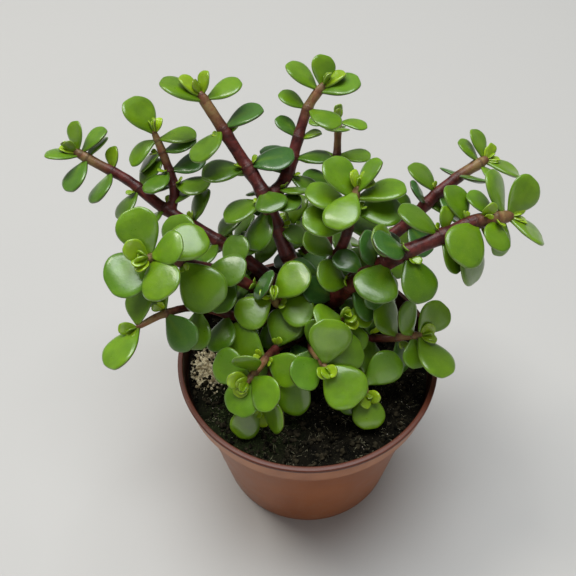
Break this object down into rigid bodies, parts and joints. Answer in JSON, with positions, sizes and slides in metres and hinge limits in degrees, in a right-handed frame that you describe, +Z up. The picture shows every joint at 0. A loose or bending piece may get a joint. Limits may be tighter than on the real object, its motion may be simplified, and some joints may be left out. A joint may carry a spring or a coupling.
{
  "type": "potted elephant bush",
  "caption": "Small nursery pot filled with soil, holding a forked woody succulent whose dark red-brown stems carry round fleshy leaves in opposite pairs.",
  "frame": {"origin": "middle of the pot's flat underside, on the surface that it stands on", "axes": "+Z up; -Y is the front, the side the picture was taken from; +X is to the right of the front"},
  "size_m": [0.189, 0.1461, 0.1642],
  "materials": {
    "terracotta_plastic": "satin moulded polypropylene, terracotta coloured",
    "peat": "rough dark potting soil",
    "bark": "dark red-brown smooth bark",
    "leaf_green": "glossy fleshy leaves, bright mid green, on dark red-brown stems"
  },
  "bodies": {
    "root": {"pot": "terracotta_plastic", "soil": "peat", "trunk": "bark", "leafy_stem_back_left": "leaf_green", "leafy_stem_left": "leaf_green", "leafy_stem_right": "leaf_green", "leafy_stem_back_right": "leaf_green", "leafy_stem_middle": "leaf_green", "leafy_stem_back": "leaf_green", "leafy_stem_front_left": "leaf_green", "leafy_stem_low_left": "leaf_green", "leafy_stem_low_front_left": "leaf_green", "leafy_stem_low_front": "leaf_green", "leafy_stem_low_right": "leaf_green", "leafy_stem_low_front_right": "leaf_green"}
  },
  "joints": []
}
